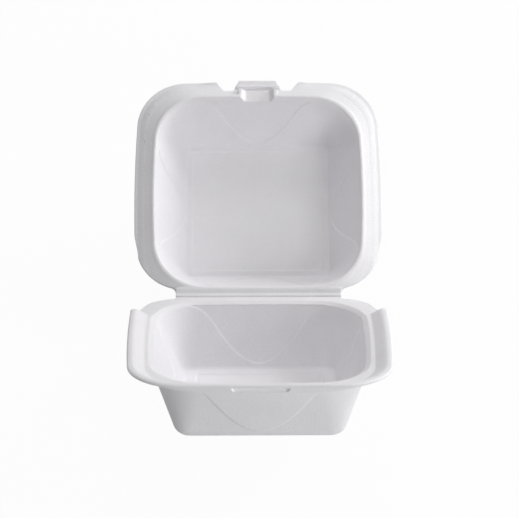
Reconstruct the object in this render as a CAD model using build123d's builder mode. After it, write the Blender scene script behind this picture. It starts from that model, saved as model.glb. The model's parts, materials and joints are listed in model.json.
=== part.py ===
from build123d import *
from math import asin, atan2, cos, hypot, radians, sin, tan
import os

os.makedirs("parts", exist_ok=True)

# Plan of both halves in millimetres: each is an oblong, looked into from above
lip_half_depth = 74.1
rim_corner = 30.0
side_bow = 2.5
end_bow = 1.0
floor_bow = 0.1
crease_to_centre = 67.7

# The foam sheet, and the bell-shaped panels pressed outwards in its walls
wall = 2.2
bell_relief = 0.6

# Base: depths below its rim, insets from the outline of the lip
base_half_width = 74.5
front_taper = 1.5
base_depth = 40.1
base_round = 7.0
base_floor_round = 1.6
base_floor_half_width = 44.3
base_floor_half_depth = 45.4
base_floor_shift = -1.8
base_floor_corner = 6.0
base_recess = 0.6
base_recess_inset = 7.4
base_wall_top = 5.6
base_wall_top_inset = 15.2
base_wall_corner = 27.0
base_bell_half_width = 45.0
base_bell_foot = 3.0
ledge_depth = 3.7
ledge_inset = 11.9
ledge_outer_inset = 9.7
rim_slope_inset = 5.2
front_rim_width = 2.9
front_step = 1.7
rim_crown = 0.9
rim_edge_inset = 0.3
crown_edge = 0.8
crown_edge_depth = 0.15
crown_outer = 2.0
front_crown_outer = 1.6
crown_inner = 3.0
front_crown_inner = 2.0
crown_shoulder = 4.0
front_crown_shoulder = 2.4
crown_shoulder_depth = 0.3
ledge_fall = 0.15
band_height = 6.0
band_inset = 7.0
front_band_inset = 3.0
band_corner = 38.0
band_foot_drop = 0.2
band_foot_inset = 10.4
band_foot_corner = 34.0
rear_flange_depth = 4.0

# Lid: depths below the plane through the crease
lid_overhang = 0.6
lid_half_width = base_half_width + lid_overhang
lid_side_bow = 3.0
lid_depth = 32.4
lid_round = 3.5
lid_floor_round = 0.8
lid_panel_inset = 31.0
lid_panel_shift = -0.7
lid_panel_corner = 3.0
lid_recess = 0.5
lid_recess_inset = 3.8
lid_wall_top = 3.4
lid_wall_top_inset = 14.0
lid_bell_half_width = 38.0
lid_bell_foot = 1.5
lid_side_bell_shift = -4.5
crest_depth = 0.4
crest_inset = 12.4
crest_width = 1.2
crest_step = 0.5
crest_step_depth = 1.2
crest_underside = 0.6
shoulder_width = 1.4
shoulder_drop = 1.1
bead_slope_inset = 6.0
bead_slope_rise = 1.3
lip_width = 2.2
lip_rise = 0.1
lip_edge = 0.6
lip_edge_drop = 0.3
lid_lip_depth = 4.9
hinge_dip = 0.7
hinge_dip_inset = 2.2
hinge_ridge = 1.1

# Hinge crease, rear flanges and the lean of the open lid
crease_depth = 3.65
crease_gap = 0.15
neck_half_width = 49.2
base_neck_round = 1.5
lid_neck_round = 4.0
rear_half_width = base_half_width - 0.9
base_rear_edge = 2.4
base_rear_corner = 28.0
lid_rear_edge = 5.4
lid_rear_corner = 30.0
base_lip_end = 29.1
lid_lip_end = 27.0
lid_lean = 39.5

# Latch in the middle of the front
tab_tip_half_width = 11.3
tab_root_half_width = 15.4
tab_reach = 0.8
notch_depth = 6.8
notch_floor_half_width = 20.7
notch_half_width = 25.3
scoop_half_width = 10.3
scoop_floor_half_width = 7.6
scoop_depth = 3.7
scoop_round = 1.6
scoop_run = 6.0
tab_score_inset = 5.8
tab_score_width = 2.4
tab_score_depth = 0.8
slot_half_width = 16.0
slot_taper = 2.3
slot_top = 2.3
slot_gap = 1.2
slot_sill_slope = 0.95
slot_lip = 0.3
slot_overrun = 3.0
sill_run = 10.0

# How far a cut or a joined piece runs past the foam that it meets, and farther than all of it
overrun = 1.0
far = 200.0


def skin(slope):
    """How far out the outer wall stands, one wall thickness lower down."""
    lean = atan2(slope, 1)
    return wall / cos(lean) - wall * slope


base_slope = (base_half_width - base_wall_top_inset - base_floor_half_width) / (
    base_depth - base_wall_top
)
lid_slope = (lid_panel_inset - lid_wall_top_inset) / (lid_depth - lid_wall_top)
base_skin = skin(base_slope)
lid_skin = skin(lid_slope)


def turn_of(slope):
    """How far a rounded edge turns between the flat bottom and a wall that leans by a slope."""
    return radians(90) - atan2(slope, 1)


def round_centre(rear_floor_edge, depth, slope, radius):
    """Centre of the rounded rear edge under a tray: distance from its middle, and height."""
    back = rear_floor_edge + skin(slope) - radius * tan(turn_of(slope) / 2)
    return back, radius - depth - wall


# The open container lies on the rear edges of both bottoms, which sets how far it rocks back
lean = radians(lid_lean)
base_rear = base_floor_half_depth + base_floor_shift
lid_rear = lip_half_depth - lid_panel_inset - lid_panel_shift
base_y, base_z = round_centre(base_rear, base_depth, base_slope, base_round)
lid_back, lid_n = round_centre(lid_rear, lid_depth, lid_slope, lid_round)
lid_u = crease_to_centre - lid_back
lid_y = crease_to_centre + lid_u * sin(lean) - lid_n * cos(lean)
lid_z = lid_u * cos(lean) + lid_n * sin(lean) - crease_depth
span_y = lid_y - base_y
span_z = lid_z - base_z
rock = atan2(span_z, span_y) + asin((base_round - lid_round) / hypot(span_y, span_z))


def rocked(y, z):
    """A point of the base's own frame after the base has rocked back."""
    return Vector(0, y * cos(rock) + z * sin(rock), z * cos(rock) - y * sin(rock))


across = lean + rock
lid_up = Vector(0, sin(across), cos(across))
front_end = rocked(rim_edge_inset - lip_half_depth, -2 * rim_crown).Y
tab_end = (crease_to_centre + lip_half_depth + tab_reach) * sin(across)
rear_end = rocked(crease_to_centre, -crease_depth).Y + tab_end + (lid_lip_depth + wall) * cos(across)
table = Vector(0, (front_end + rear_end) / 2, rocked(base_y, base_z).Z - base_round)
crease = rocked(crease_to_centre, -crease_depth) - table
base_plane = Plane(rocked(0, 0) - table, (1, 0, 0), (0, sin(rock), cos(rock)))
lid_plane = Plane(crease + lid_up * crease_to_centre, (1, 0, 0), (0, -cos(across), sin(across)))


def ring(plane, depth, half_width, half_depth, corner, bow, shift=0.0, taper=0.0, end=end_bow):
    """Oblong outline at one depth, with rounded corners and sides that bow outwards."""
    front_x = half_width - bow - taper
    back_x = half_width - bow + taper
    front = shift - half_depth + end
    back = shift + half_depth - end
    with BuildSketch(plane.offset(-depth)) as outline:
        with BuildLine():
            ThreePointArc((-front_x, front), (0, shift - half_depth), (front_x, front))
            ThreePointArc((front_x, front), (half_width, shift), (back_x, back))
            ThreePointArc((back_x, back), (0, shift + half_depth), (-back_x, back))
            ThreePointArc((-back_x, back), (-half_width, shift), (-front_x, front))
        make_face()
        fillet(outline.vertices(), corner)
    return outline.sketch


def base_ring(depth, inset, front_inset=None, corner=rim_corner):
    """Outline at one depth of the base's rim, stepped in at the sides and at the front."""
    half_depth = lip_half_depth - (inset if front_inset is None else front_inset)
    half_width = base_half_width - inset
    return ring(base_plane, depth, half_width, half_depth, corner, side_bow, taper=front_taper)


def lid_ring(depth, inset):
    """Outline at one depth of the lid's bead and lip, stepped in all round."""
    half_width = lid_half_width - inset
    return ring(lid_plane, depth, half_width, lip_half_depth - inset, rim_corner, lid_side_bow)


def foot_rings(plane, depth, half_width, half_depth, corner, shift, slope, radius, turns):
    """Outlines up the rounded edge at the foot of a tray, from its flat bottom to its wall."""
    whole_turn = turn_of(slope)
    rings = []
    for turn in [0, *turns, whole_turn]:
        inset = radius * (tan(whole_turn / 2) - sin(turn))
        rise = radius * (1 - cos(turn))
        width = half_width - inset
        length = half_depth - inset
        rings.append(
            ring(plane, depth - rise, width, length, corner - inset, floor_bow, shift, end=floor_bow)
        )
    return rings


def stack(rings):
    """Solid through a stack of outlines."""
    with BuildPart() as body:
        loft(sections=rings, ruled=True)
    return body.part


def halved(contact, whole_turn):
    """Three turns for a rounded edge, one of them where it touches the table."""
    return [contact / 2, contact, (contact + whole_turn) / 2]


def base_wall_rings(depth_grow, out, radius, turns=()):
    """Outlines of the base's rounded foot and of the top of its wall, grown where asked."""
    foot = foot_rings(
        base_plane,
        base_depth + depth_grow,
        base_floor_half_width + out,
        base_floor_half_depth + out,
        base_floor_corner + out,
        base_floor_shift,
        base_slope,
        radius,
        turns,
    )
    top_depth = base_wall_top + depth_grow
    return foot + [base_ring(top_depth, base_wall_top_inset - out, corner=base_wall_corner)]


def lid_wall_rings(depth_grow, out, radius, turns=()):
    """Outlines of the lid's rounded panel edge and of the top of its wall, grown where asked."""
    foot = foot_rings(
        lid_plane,
        lid_depth + depth_grow,
        lid_half_width - lid_panel_inset + out,
        lip_half_depth - lid_panel_inset + out,
        lid_panel_corner + out,
        lid_panel_shift,
        lid_slope,
        radius,
        turns,
    )
    return foot + [lid_ring(lid_wall_top + depth_grow, lid_wall_top_inset - out)]


base_turns = halved(rock, turn_of(base_slope))
lid_turns = halved(radians(90) - across, turn_of(lid_slope))


def bells(plane, larger_tray, foot, top, half_width, side_shift=0.0):
    """The bell-shaped reliefs on all four walls of a tray, cut from a slightly larger tray."""
    middle = (foot + top) / 2
    half = half_width / 2
    with BuildPart() as prisms:
        for through_wall, shift in ((plane.y_dir, 0.0), (plane.x_dir, side_shift)):
            along_wall = plane.z_dir.cross(through_wall)
            origin = plane.origin + plane.y_dir * shift
            with BuildSketch(Plane(origin, along_wall, through_wall)):
                with BuildLine():
                    Spline(
                        (-half_width, -top),
                        (-half, -middle),
                        (0, -foot),
                        (half, -middle),
                        (half_width, -top),
                        tangents=[(1, 0), (1, 0)],
                    )
                    Polyline((half_width, -top), (half_width, far), (-half_width, far), (-half_width, -top))
                make_face()
            extrude(amount=far, both=True)
    with BuildPart() as reliefs:
        add(larger_tray)
        add(prisms.part, mode=Mode.INTERSECT)
    return reliefs.part


def recess(plane, depth, step, half_width, half_depth, corner, shift):
    """Shallow panel pressed into a tray's floor."""
    with BuildPart() as panel:
        with BuildSketch(plane.offset(-depth - step)):
            with Locations((0, shift)):
                RectangleRounded(2 * half_width, 2 * half_depth, corner)
        extrude(amount=2 * step)
    return panel.part


def rear_waste(plane, rear, lip_end, edge, corner, neck_round):
    """What is trimmed off behind the end of the lip, leaving a narrow flange and the hinge neck."""
    neck_end = crease_to_centre - crease_gap
    with BuildSketch(plane.offset(far)) as flange:
        RectangleRounded(2 * rear_half_width, 2 * (crease_to_centre - edge), corner)
        Rectangle(2 * neck_half_width, 2 * neck_end)
        inner_corners = flange.vertices().filter_by(
            lambda v: abs(abs(v.X) - neck_half_width) < 0.01 and abs(v.Y) < neck_end - edge / 2
        )
        fillet(inner_corners, neck_round)
    with BuildPart() as waste:
        with BuildSketch(plane.offset(far)):
            with Locations((0, rear * (crease_to_centre - lip_end + far))):
                Rectangle(2 * far, 2 * far)
            add(flange.sketch_local, mode=Mode.SUBTRACT)
        extrude(amount=-2 * far)
    return waste.part


def base_outside():
    """The base as a solid block, with the bevelled underside of its rim."""
    return stack(
        base_wall_rings(wall, base_skin, base_round, base_turns)
        + [
            base_ring(band_height + band_foot_drop, band_foot_inset, corner=band_foot_corner),
            base_ring(band_height, band_inset, front_band_inset, band_corner),
            base_ring(2 * rim_crown, rim_edge_inset),
            base_ring(rim_crown, 0),
            base_ring(crown_edge_depth, crown_edge),
            base_ring(0, crown_outer, front_crown_outer),
        ]
    )


def base_cavity():
    """The space inside the base, with the ledge and the slope up to the crown of the rim."""
    return stack(
        base_wall_rings(0, 0, base_floor_round)
        + [
            base_ring(ledge_depth, ledge_inset),
            base_ring(ledge_depth - ledge_fall, ledge_outer_inset, front_rim_width + front_step),
            base_ring(rim_crown, rim_slope_inset, front_rim_width),
            base_ring(crown_shoulder_depth, crown_shoulder, front_crown_shoulder),
            base_ring(0, crown_inner, front_crown_inner),
            base_ring(-overrun, crown_inner, front_crown_inner),
        ]
    )


def latch_slot():
    """Slit through the front of the rim, with a sill that slopes down outwards."""
    inner_face = lip_half_depth - front_rim_width - front_step
    sill_foot = slot_top + slot_gap
    with BuildPart() as slot:
        with BuildSketch(Plane(base_plane.origin, base_plane.y_dir, base_plane.x_dir)):
            with BuildLine():
                Polyline(
                    (slot_overrun - inner_face, -slot_top),
                    (slot_overrun - inner_face, -sill_foot),
                    (-inner_face - slot_lip, -sill_foot),
                    (-inner_face - slot_lip - sill_run, -sill_foot - sill_run * slot_sill_slope),
                    (-inner_face - slot_lip - sill_run, -slot_top),
                    close=True,
                )
            make_face()
        extrude(amount=far / 2, both=True)
        with BuildSketch(Plane(base_plane.origin, base_plane.x_dir, -base_plane.y_dir)):
            with BuildLine():
                Polyline(
                    (-slot_half_width, -slot_top),
                    (slot_half_width, -slot_top),
                    (slot_half_width - slot_taper, -band_height),
                    (slot_taper - slot_half_width, -band_height),
                    close=True,
                )
            make_face()
        extrude(amount=far, mode=Mode.INTERSECT)
    return slot.part


def base_bells(depth_grow, out, radius, turns=()):
    """Bell reliefs of the base, as wide as its outside or its cavity."""
    larger = stack(base_wall_rings(depth_grow, out, radius, turns))
    return bells(base_plane, larger, base_depth - base_bell_foot, base_wall_top, base_bell_half_width)


def base_recess_panel():
    """The recess in the floor of the base."""
    return recess(
        base_plane,
        base_depth,
        base_recess,
        base_floor_half_width - base_recess_inset,
        base_floor_half_depth - base_recess_inset,
        base_floor_corner / 2,
        base_floor_shift,
    )


with BuildPart() as base:
    add(base_outside())
    add(base_bells(wall, base_skin + bell_relief, base_round, base_turns))
    add(base_cavity(), mode=Mode.SUBTRACT)
    add(base_bells(0, bell_relief, base_floor_round), mode=Mode.SUBTRACT)
    add(base_recess_panel(), mode=Mode.SUBTRACT)
    with BuildSketch(base_plane.offset(-rear_flange_depth)):
        with Locations((0, crease_to_centre - base_lip_end + far)):
            Rectangle(2 * far, 2 * far)
    extrude(amount=far, mode=Mode.SUBTRACT)
    add(
        rear_waste(base_plane, 1, base_lip_end, base_rear_edge, base_rear_corner, base_neck_round),
        mode=Mode.SUBTRACT,
    )
    add(latch_slot(), mode=Mode.SUBTRACT)
base.part.label = "base"
export_step(base.part, "parts/base.step")


def lid_outside():
    """The lid's dome as a solid block, up to the underside of its bead."""
    return stack(
        lid_wall_rings(wall, lid_skin, lid_round, lid_turns)
        + [lid_ring(crest_depth + crest_underside, crest_inset - crest_underside)]
    )


def lid_cavity():
    """The space inside the lid, up to the crest of its bead."""
    return stack(
        lid_wall_rings(0, 0, lid_floor_round)
        + [
            lid_ring(crest_depth + crest_step_depth, crest_inset + crest_step),
            lid_ring(crest_depth, crest_inset),
            lid_ring(-overrun, crest_inset),
        ]
    )


def lid_bells(depth_grow, out, radius, turns=()):
    """Bell reliefs of the lid, as wide as its outside or its cavity."""
    larger = stack(lid_wall_rings(depth_grow, out, radius, turns))
    foot = lid_depth - lid_bell_foot
    return bells(lid_plane, larger, foot, lid_wall_top, lid_bell_half_width, lid_side_bell_shift)


def lid_recess_panel():
    """The recess in the flat panel of the lid."""
    return recess(
        lid_plane,
        lid_depth,
        lid_recess,
        lid_half_width - lid_panel_inset - lid_recess_inset,
        lip_half_depth - lid_panel_inset - lid_recess_inset,
        lid_panel_corner / 2,
        lid_panel_shift,
    )


def bead(lowered, out):
    """Mound with the shape of the bead and lip, to be hollowed by a lower copy of itself."""
    crest = crest_depth + lowered
    lip = lid_lip_depth + lowered
    crest_outer = crest_inset - crest_width
    return stack(
        [
            lid_ring(lip + wall, -out),
            lid_ring(lip + lip_edge_drop, -out),
            lid_ring(lip, lip_edge - out),
            lid_ring(lip - lip_rise, lip_width),
            lid_ring(lip - bead_slope_rise, bead_slope_inset),
            lid_ring(crest + shoulder_drop, crest_outer - shoulder_width),
            lid_ring(crest, crest_outer),
        ]
    )


def tab_outline():
    """Lip between the two notches, which reaches a little past the rest of the lip."""
    root = lip_half_depth - notch_depth
    tip = lip_half_depth + tab_reach
    with BuildSketch(lid_plane.offset(-lid_lip_depth)) as tab:
        with BuildLine():
            Polyline(
                (-tab_root_half_width, root),
                (-tab_tip_half_width, tip),
                (tab_tip_half_width, tip),
                (tab_root_half_width, root),
                close=True,
            )
        make_face()
    return tab.sketch


def notches():
    """Cuts at both sides of the tab, from the lip's edge to the foot of the bead."""
    root = lip_half_depth - notch_depth
    tip = lip_half_depth + tab_reach + overrun
    edge_slope = (notch_half_width - notch_floor_half_width) / notch_depth
    tab_slope = (tab_root_half_width - tab_tip_half_width) / (notch_depth + tab_reach)
    reach = tip - root
    with BuildPart() as cuts:
        with BuildSketch(lid_plane):
            with BuildLine():
                Polyline(
                    (tab_root_half_width, root),
                    (notch_floor_half_width, root),
                    (notch_floor_half_width + reach * edge_slope, tip),
                    (tab_root_half_width - reach * tab_slope, tip),
                    close=True,
                )
            make_face()
            mirror(about=Plane(lid_plane.origin, lid_plane.y_dir, lid_plane.x_dir))
        extrude(amount=far / 2, both=True)
    return cuts.part


def scoop(grow, front, rear, top):
    """Flat-bottomed channel across the bead behind the tab, cut off level with a given depth."""
    floor = -crest_depth - scoop_depth - grow
    side_slope = (scoop_half_width - scoop_floor_half_width) / scoop_depth
    reach = -crest_depth - top - floor
    top_half_width = scoop_floor_half_width + grow + (reach - grow) * side_slope
    with BuildPart() as channel:
        with BuildSketch(Plane(lid_plane.origin, lid_plane.x_dir, -lid_plane.y_dir).offset(-front)) as section:
            with BuildLine():
                Polyline(
                    (-scoop_floor_half_width - grow, floor),
                    (scoop_floor_half_width + grow, floor),
                    (top_half_width, floor + reach),
                    (-top_half_width, floor + reach),
                    close=True,
                )
            make_face()
            fillet(section.vertices().group_by(Axis.Y)[0], scoop_round)
        extrude(amount=front - rear)
    return channel.part


def hinge_strip():
    """Level strip behind the bead, dipped in the middle, that ends in a ridge along the crease."""
    crest_inner = lip_half_depth - crest_inset
    crease_end = crease_to_centre - crease_gap
    top = [
        (-crest_inner, -crest_depth),
        (-crest_inner - crest_width, -crest_depth),
        (hinge_dip_inset - crease_end, -crest_depth - hinge_dip),
        (hinge_ridge - crease_end, -crest_depth),
        (-crease_end, -crest_depth),
    ]
    under = [(y, z - wall) for y, z in reversed(top)]
    with BuildPart() as strip:
        with BuildSketch(Plane(lid_plane.origin, lid_plane.y_dir, lid_plane.x_dir)):
            with BuildLine():
                Polyline(*top, *under, close=True)
            make_face()
        extrude(amount=neck_half_width, both=True)
    return strip.part


def tab_score():
    """Groove along which the tab bends where it leaves the bead."""
    with BuildPart() as groove:
        with BuildSketch(lid_plane.offset(-lid_lip_depth - tab_score_depth)):
            with Locations((0, lip_half_depth + tab_reach - tab_score_inset)):
                Rectangle(2 * tab_root_half_width, tab_score_width)
        extrude(amount=far)
    return groove.part


with BuildPart() as bead_shell:
    add(bead(0, 0))
    add(bead(wall, overrun), mode=Mode.SUBTRACT)

scoop_front = lip_half_depth - notch_depth + overrun

with BuildPart() as lid:
    add(lid_outside())
    add(bead_shell.part)
    add(lid_bells(wall, lid_skin + bell_relief, lid_round, lid_turns))
    add(scoop(wall, scoop_front, lip_half_depth - crest_inset - scoop_run, crest_underside))
    add(hinge_strip())
    add(lid_cavity(), mode=Mode.SUBTRACT)
    add(lid_bells(0, bell_relief, lid_floor_round), mode=Mode.SUBTRACT)
    add(lid_recess_panel(), mode=Mode.SUBTRACT)
    extrude(tab_outline(), amount=-wall)
    add(scoop(0, scoop_front, 0, -overrun), mode=Mode.SUBTRACT)
    add(tab_score(), mode=Mode.SUBTRACT)
    add(notches(), mode=Mode.SUBTRACT)
    add(
        rear_waste(lid_plane, -1, lid_lip_end, lid_rear_edge, lid_rear_corner, lid_neck_round),
        mode=Mode.SUBTRACT,
    )
lid.part.label = "lid"
export_step(lid.part, "parts/lid.step")
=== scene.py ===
"""Foam clamshell food box, open on a white table, lit softly from the right."""

import json
from math import cos, hypot, radians, sin

import bpy
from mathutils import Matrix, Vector


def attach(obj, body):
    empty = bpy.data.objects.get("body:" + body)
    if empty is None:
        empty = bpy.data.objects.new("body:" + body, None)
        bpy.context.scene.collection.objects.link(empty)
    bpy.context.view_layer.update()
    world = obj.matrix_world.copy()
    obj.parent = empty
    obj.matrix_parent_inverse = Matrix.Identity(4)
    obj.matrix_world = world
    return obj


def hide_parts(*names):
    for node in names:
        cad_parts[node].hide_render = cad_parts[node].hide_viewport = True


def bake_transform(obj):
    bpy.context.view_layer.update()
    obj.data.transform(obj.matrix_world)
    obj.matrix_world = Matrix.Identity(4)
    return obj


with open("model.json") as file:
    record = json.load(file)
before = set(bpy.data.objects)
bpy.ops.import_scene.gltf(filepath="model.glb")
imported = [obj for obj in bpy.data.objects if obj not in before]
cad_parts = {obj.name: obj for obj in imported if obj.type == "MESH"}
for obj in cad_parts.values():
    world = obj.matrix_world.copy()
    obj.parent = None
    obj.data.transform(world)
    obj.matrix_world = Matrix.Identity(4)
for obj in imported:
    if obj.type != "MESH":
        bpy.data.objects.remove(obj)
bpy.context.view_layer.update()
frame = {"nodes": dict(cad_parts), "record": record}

# Lengths are in metres

# How each half slants away from the crease, measured from level
base_slant = radians(27.496)
lid_slant = radians(23.004)

# Pressed web at the crease
crease = Vector(frame["record"]["behaviour"]["joints"][0]["pos_m"])
hinge_half_width = 0.0489
hinge_drop = 0.0008
hinge_thickness = 0.0007
hinge_overlap = 0.0016
hinge_bend_steps = 12
hinge_strips = 48

# Plan of the lid's lip, seen square to the lid: its middle, half sizes, the bow of its edges, its corners
lid_middle = Vector((0, 0.05763, 0.04895))
up_lid = Vector((0, cos(lid_slant), sin(lid_slant)))
out_of_lid = Vector((0, -sin(lid_slant), cos(lid_slant)))
lip_half_width = 0.0751
lip_half_depth = 0.0741
lip_side_bow = 0.003
lip_end_bow = 0.001
lip_corner = 0.03

# Edge of the lip, which falls away over its last stretch but stays full beside the tab
lip_thinned_width = 0.006
lip_thinned_by = 0.0014
lip_under_depth = 0.0071
lip_sheet = 0.0022
tab_clear = 0.027
tab_fade = 0.008

# Rear ends of the lip, drawn in to the flange
lip_rear = -0.0407
lip_rear_step = 0.002
lip_rear_length = 0.016

# Foam sheet: size of the cells that round its edges, and faces in each half
weld_gap = 1e-6
foam_cell = 0.00035
softening_pull = 0.5
softening_rounds = 3
foam_faces = 190000

# Foam skin: fine pressed cells, wider clouds in the tint, a shallow grain and a soft sheen
foam_white = (0.9, 0.888, 0.914, 1)
dull_share = 0.94
dull_below = 0.3
white_above = 0.7
cell_scale = 900
cell_detail = 3
cell_roughness = 0.6
cell_share = 0.6
cloud_scale = 60
cloud_detail = 2
cloud_share = 0.4
grain_strength = 0.6
grain_depth = 0.0003
skin_roughness = 0.5
skin_index = 1.45

# Table and room
white = (1, 1, 1, 1)
table_white = (0.8, 0.8, 0.8, 1)
table_glow = 0.96
table_reach = 3.0
room_light = 0.25

# Soft boxes face the middle of the container from this distance
box_middle = Vector((0, 0, 0.05))
light_distance = 1.2

# Camera, above and in front of the box
lens_length = 146.94
film_width = 36
camera_place = (-0.00896, -0.83903, 0.96222)
camera_turn = (radians(42.6151), radians(-0.2078), radians(-0.3992))


def smooth(share):
    """Eases a share from 0 to 1, and holds it at both ends."""
    share = min(max(share, 0), 1)
    return share * share * (3 - 2 * share)


def node_tree(material):
    """Empties a material's nodes and gives back the tree."""
    material.use_nodes = True
    material.node_tree.nodes.clear()
    return material.node_tree


def speckle(tree, place, scale, detail):
    """Noise that stays fixed to the foam."""
    noise = tree.nodes.new("ShaderNodeTexNoise")
    noise.inputs["Scale"].default_value = scale
    noise.inputs["Detail"].default_value = detail
    tree.links.new(place.outputs["Object"], noise.inputs["Vector"])
    return noise


def foam_tint(tree, cells, clouds):
    """Faint changes of tint: the cells and the clouds added by their shares."""
    nodes, links = tree.nodes, tree.links
    cloud_part = nodes.new("ShaderNodeMath")
    cloud_part.operation = "MULTIPLY"
    cloud_part.inputs[1].default_value = cloud_share
    links.new(clouds.outputs["Fac"], cloud_part.inputs[0])
    both = nodes.new("ShaderNodeMath")
    both.operation = "MULTIPLY_ADD"
    both.inputs[1].default_value = cell_share
    links.new(cells.outputs["Fac"], both.inputs[0])
    links.new(cloud_part.outputs[0], both.inputs[2])
    tint = nodes.new("ShaderNodeValToRGB")
    dull_end, white_end = tint.color_ramp.elements
    dull_end.position = dull_below
    dull_end.color = [dull_share * channel for channel in foam_white[:3]] + [1]
    white_end.position = white_above
    white_end.color = foam_white
    links.new(both.outputs[0], tint.inputs["Fac"])
    return tint


def foam_material():
    """White foam: fine pressed cells in the skin, a faint cool tint and a soft sheen."""
    material = bpy.data.materials.new("white_foam")
    tree = node_tree(material)
    nodes, links = tree.nodes, tree.links
    place = nodes.new("ShaderNodeTexCoord")
    cells = speckle(tree, place, cell_scale, cell_detail)
    cells.inputs["Roughness"].default_value = cell_roughness
    clouds = speckle(tree, place, cloud_scale, cloud_detail)
    tint = foam_tint(tree, cells, clouds)
    grain = nodes.new("ShaderNodeBump")
    grain.inputs["Strength"].default_value = grain_strength
    grain.inputs["Distance"].default_value = grain_depth
    links.new(cells.outputs["Fac"], grain.inputs["Height"])
    skin = nodes.new("ShaderNodeBsdfPrincipled")
    skin.inputs["Roughness"].default_value = skin_roughness
    skin.inputs["IOR"].default_value = skin_index
    links.new(tint.outputs["Color"], skin.inputs["Base Color"])
    links.new(grain.outputs["Normal"], skin.inputs["Normal"])
    output = nodes.new("ShaderNodeOutputMaterial")
    links.new(skin.outputs["BSDF"], output.inputs["Surface"])
    return material


def lip_reach(v):
    """Half the width of the lid's lip at a height v in its plan."""
    return lip_half_width - lip_side_bow * (v / lip_half_depth) ** 2


def lip_inset(u, v):
    """How far a point in the plan of the lid lies inside the outline of its lip."""
    half_depth = lip_half_depth - lip_end_bow * (u / lip_half_width) ** 2
    across = abs(u) - lip_reach(v) + lip_corner
    along = abs(v) - half_depth + lip_corner
    return lip_corner - hypot(max(across, 0), max(along, 0)) - min(max(across, along), 0)


def thin_lip(mesh):
    """Lets the visible side of the lid's lip fall away towards its edge, apart from the tab."""
    for vertex in mesh.vertices:
        place = vertex.co - lid_middle
        u, v, depth = place.x, place.dot(up_lid), -place.dot(out_of_lid)
        inset = lip_inset(u, v)
        if inset > lip_thinned_width or depth > lip_under_depth:
            continue
        near_tab = 0 if v < 0 else 1 - smooth((abs(u) - tab_clear) / tab_fade)
        fall = lip_thinned_by * smooth(1 - inset / lip_thinned_width) * (1 - near_tab)
        above = smooth((lip_under_depth - depth) / lip_sheet)
        vertex.co -= out_of_lid * fall * above


def ease_lip_ends(mesh):
    """Draws the sides of the lid's lip in towards the hinge, so that it runs out into the flange."""
    for vertex in mesh.vertices:
        v = (vertex.co - lid_middle).dot(up_lid)
        if v > lip_rear + lip_rear_length:
            continue
        drawn_in = lip_rear_step * smooth(1 - (v - lip_rear) / lip_rear_length)
        reach = lip_reach(v) - drawn_in
        vertex.co.x = min(max(vertex.co.x, -reach), reach)


def plain_mesh(piece):
    """Turns a piece and its modifiers into a plain mesh."""
    graph = bpy.context.evaluated_depsgraph_get()
    mesh = bpy.data.meshes.new_from_object(piece.evaluated_get(graph))
    piece.modifiers.clear()
    piece.data = mesh
    return mesh


def soft_half(name, foam):
    """One half of the box with the soft edges of pressed foam, in place of its plain solid."""
    mesh = frame["nodes"][name].data.copy()
    mesh.materials.clear()
    half = bpy.data.objects.new(name + "_foam", mesh)
    bpy.context.collection.objects.link(half)
    weld = half.modifiers.new("weld", "WELD")
    weld.merge_threshold = weld_gap
    cells = half.modifiers.new("cells", "REMESH")
    cells.mode = "VOXEL"
    cells.voxel_size = foam_cell
    soften = half.modifiers.new("soften", "SMOOTH")
    soften.factor = softening_pull
    soften.iterations = softening_rounds
    mesh = plain_mesh(half)
    triangles = 2 * len(mesh.polygons)
    if triangles > foam_faces:
        thin = half.modifiers.new("thin", "DECIMATE")
        thin.ratio = foam_faces / triangles
        mesh = plain_mesh(half)
    if name == "lid":
        thin_lip(mesh)
        ease_lip_ends(mesh)
    mesh.shade_smooth()
    mesh.materials.append(foam)
    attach(half, name)
    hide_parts(name)


def hinge_section():
    """Outline points of the thin web at the hinge, underside first, as (y, z) from the crease."""
    top, under = [], []
    for radius, side in ((hinge_drop, top), (hinge_drop + hinge_thickness, under)):
        start = Vector((-sin(base_slant), -cos(base_slant))) * radius
        side.append(start + Vector((-cos(base_slant), sin(base_slant))) * hinge_overlap)
        for step in range(hinge_bend_steps + 1):
            angle = -base_slant + (base_slant + lid_slant) * step / hinge_bend_steps
            side.append(Vector((sin(angle), -cos(angle))) * radius)
        end = Vector((sin(lid_slant), -cos(lid_slant))) * radius
        side.append(end + Vector((cos(lid_slant), sin(lid_slant))) * hinge_overlap)
    return under + top[::-1]


def hinge_web(foam):
    """The thin pressed sheet that joins both halves along the crease."""
    section = hinge_section()
    count = len(section)
    points, faces = [], []
    for strip in range(hinge_strips + 1):
        x = hinge_half_width * (2 * strip / hinge_strips - 1)
        points += [(x, crease.y + y, crease.z + z) for y, z in section]
    for strip in range(hinge_strips):
        for corner in range(count):
            here = strip * count + corner
            beside = strip * count + (corner + 1) % count
            faces.append((here, beside, beside + count, here + count))
    faces.append(tuple(reversed(range(count))))
    faces.append(tuple(range(hinge_strips * count, (hinge_strips + 1) * count)))
    mesh = bpy.data.meshes.new("hinge_web")
    mesh.from_pydata(points, [], faces)
    mesh.update()
    mesh.materials.append(foam)
    web = bpy.data.objects.new("hinge_web", mesh)
    bpy.context.collection.objects.link(web)
    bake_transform(web)


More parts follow.
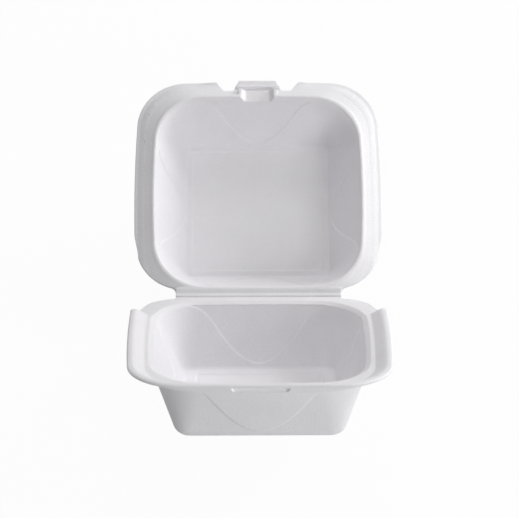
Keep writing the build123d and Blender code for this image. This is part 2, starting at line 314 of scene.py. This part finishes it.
def table_material():
    """White table: almost plain white to the camera, but it still takes the box's soft shadow."""
    material = bpy.data.materials.new("white_table")
    tree = node_tree(material)
    nodes, links = tree.nodes, tree.links
    surface = nodes.new("ShaderNodeBsdfDiffuse")
    surface.inputs["Color"].default_value = table_white
    glow = nodes.new("ShaderNodeEmission")
    glow.inputs["Color"].default_value = white
    glow.inputs["Strength"].default_value = 1
    ray = nodes.new("ShaderNodeLightPath")
    seen = nodes.new("ShaderNodeMath")
    seen.operation = "MULTIPLY"
    seen.inputs[1].default_value = table_glow
    links.new(ray.outputs["Is Camera Ray"], seen.inputs[0])
    mix = nodes.new("ShaderNodeMixShader")
    links.new(seen.outputs[0], mix.inputs["Fac"])
    links.new(surface.outputs["BSDF"], mix.inputs[1])
    links.new(glow.outputs["Emission"], mix.inputs[2])
    output = nodes.new("ShaderNodeOutputMaterial")
    links.new(mix.outputs["Shader"], output.inputs["Surface"])
    return material


def table_top():
    """Wide white table under the box."""
    corners = [(x * table_reach, y * table_reach, 0) for x, y in ((-1, -1), (1, -1), (1, 1), (-1, 1))]
    mesh = bpy.data.meshes.new("table_top")
    mesh.from_pydata(corners, [], [(0, 1, 2, 3)])
    mesh.materials.append(table_material())
    top = bpy.data.objects.new("table_top", mesh)
    bpy.context.collection.objects.link(top)


def soft_light(name, turn, height, width, power):
    """Square soft box: turned from the front to the right and raised, both in degrees."""
    turn, height = radians(turn), radians(height)
    away = Vector((sin(turn) * cos(height), -cos(turn) * cos(height), sin(height)))
    lamp = bpy.data.lights.new(name, "AREA")
    lamp.size = width
    lamp.energy = power
    light = bpy.data.objects.new(name, lamp)
    light.location = box_middle + away * light_distance
    light.rotation_euler = (-away).to_track_quat("-Z", "Y").to_euler()
    bpy.context.collection.objects.link(light)


def plain_light(nodes, strength):
    """Even white light of one strength from all round."""
    light = nodes.new("ShaderNodeBackground")
    light.inputs["Color"].default_value = white
    light.inputs["Strength"].default_value = strength
    return light


def pale_room():
    """Even dim room round the table, which the camera sees as plain white."""
    world = bpy.data.worlds.new("pale_room")
    bpy.context.scene.world = world
    world.use_nodes = True
    nodes, links = world.node_tree.nodes, world.node_tree.links
    nodes.clear()
    room = plain_light(nodes, room_light)
    backdrop = plain_light(nodes, 1)
    ray = nodes.new("ShaderNodeLightPath")
    mix = nodes.new("ShaderNodeMixShader")
    links.new(ray.outputs["Is Camera Ray"], mix.inputs["Fac"])
    links.new(room.outputs["Background"], mix.inputs[1])
    links.new(backdrop.outputs["Background"], mix.inputs[2])
    output = nodes.new("ShaderNodeOutputWorld")
    links.new(mix.outputs["Shader"], output.inputs["Surface"])


def studio():
    """Two low soft boxes at the right, one behind and one overhead, in a dim even room."""
    soft_light("front_right_box", turn=40, height=20, width=0.5, power=4.6)
    soft_light("back_right_box", turn=120, height=20, width=0.5, power=7.9)
    soft_light("back_box", turn=180, height=45, width=0.5, power=2.7)
    soft_light("overhead_box", turn=0, height=90, width=0.8, power=2.4)
    pale_room()


def photo_camera():
    """Camera above and in front of the box, as in the photograph."""
    lens = bpy.data.cameras.new("photo_camera")
    lens.lens = lens_length
    lens.sensor_width = film_width
    camera = bpy.data.objects.new("photo_camera", lens)
    camera.location = camera_place
    camera.rotation_euler = camera_turn
    bpy.context.collection.objects.link(camera)
    bpy.context.scene.camera = camera


foam = foam_material()
soft_half("base", foam)
soft_half("lid", foam)
hinge_web(foam)
table_top()
studio()
photo_camera()
bpy.context.scene.view_settings.view_transform = "Standard"
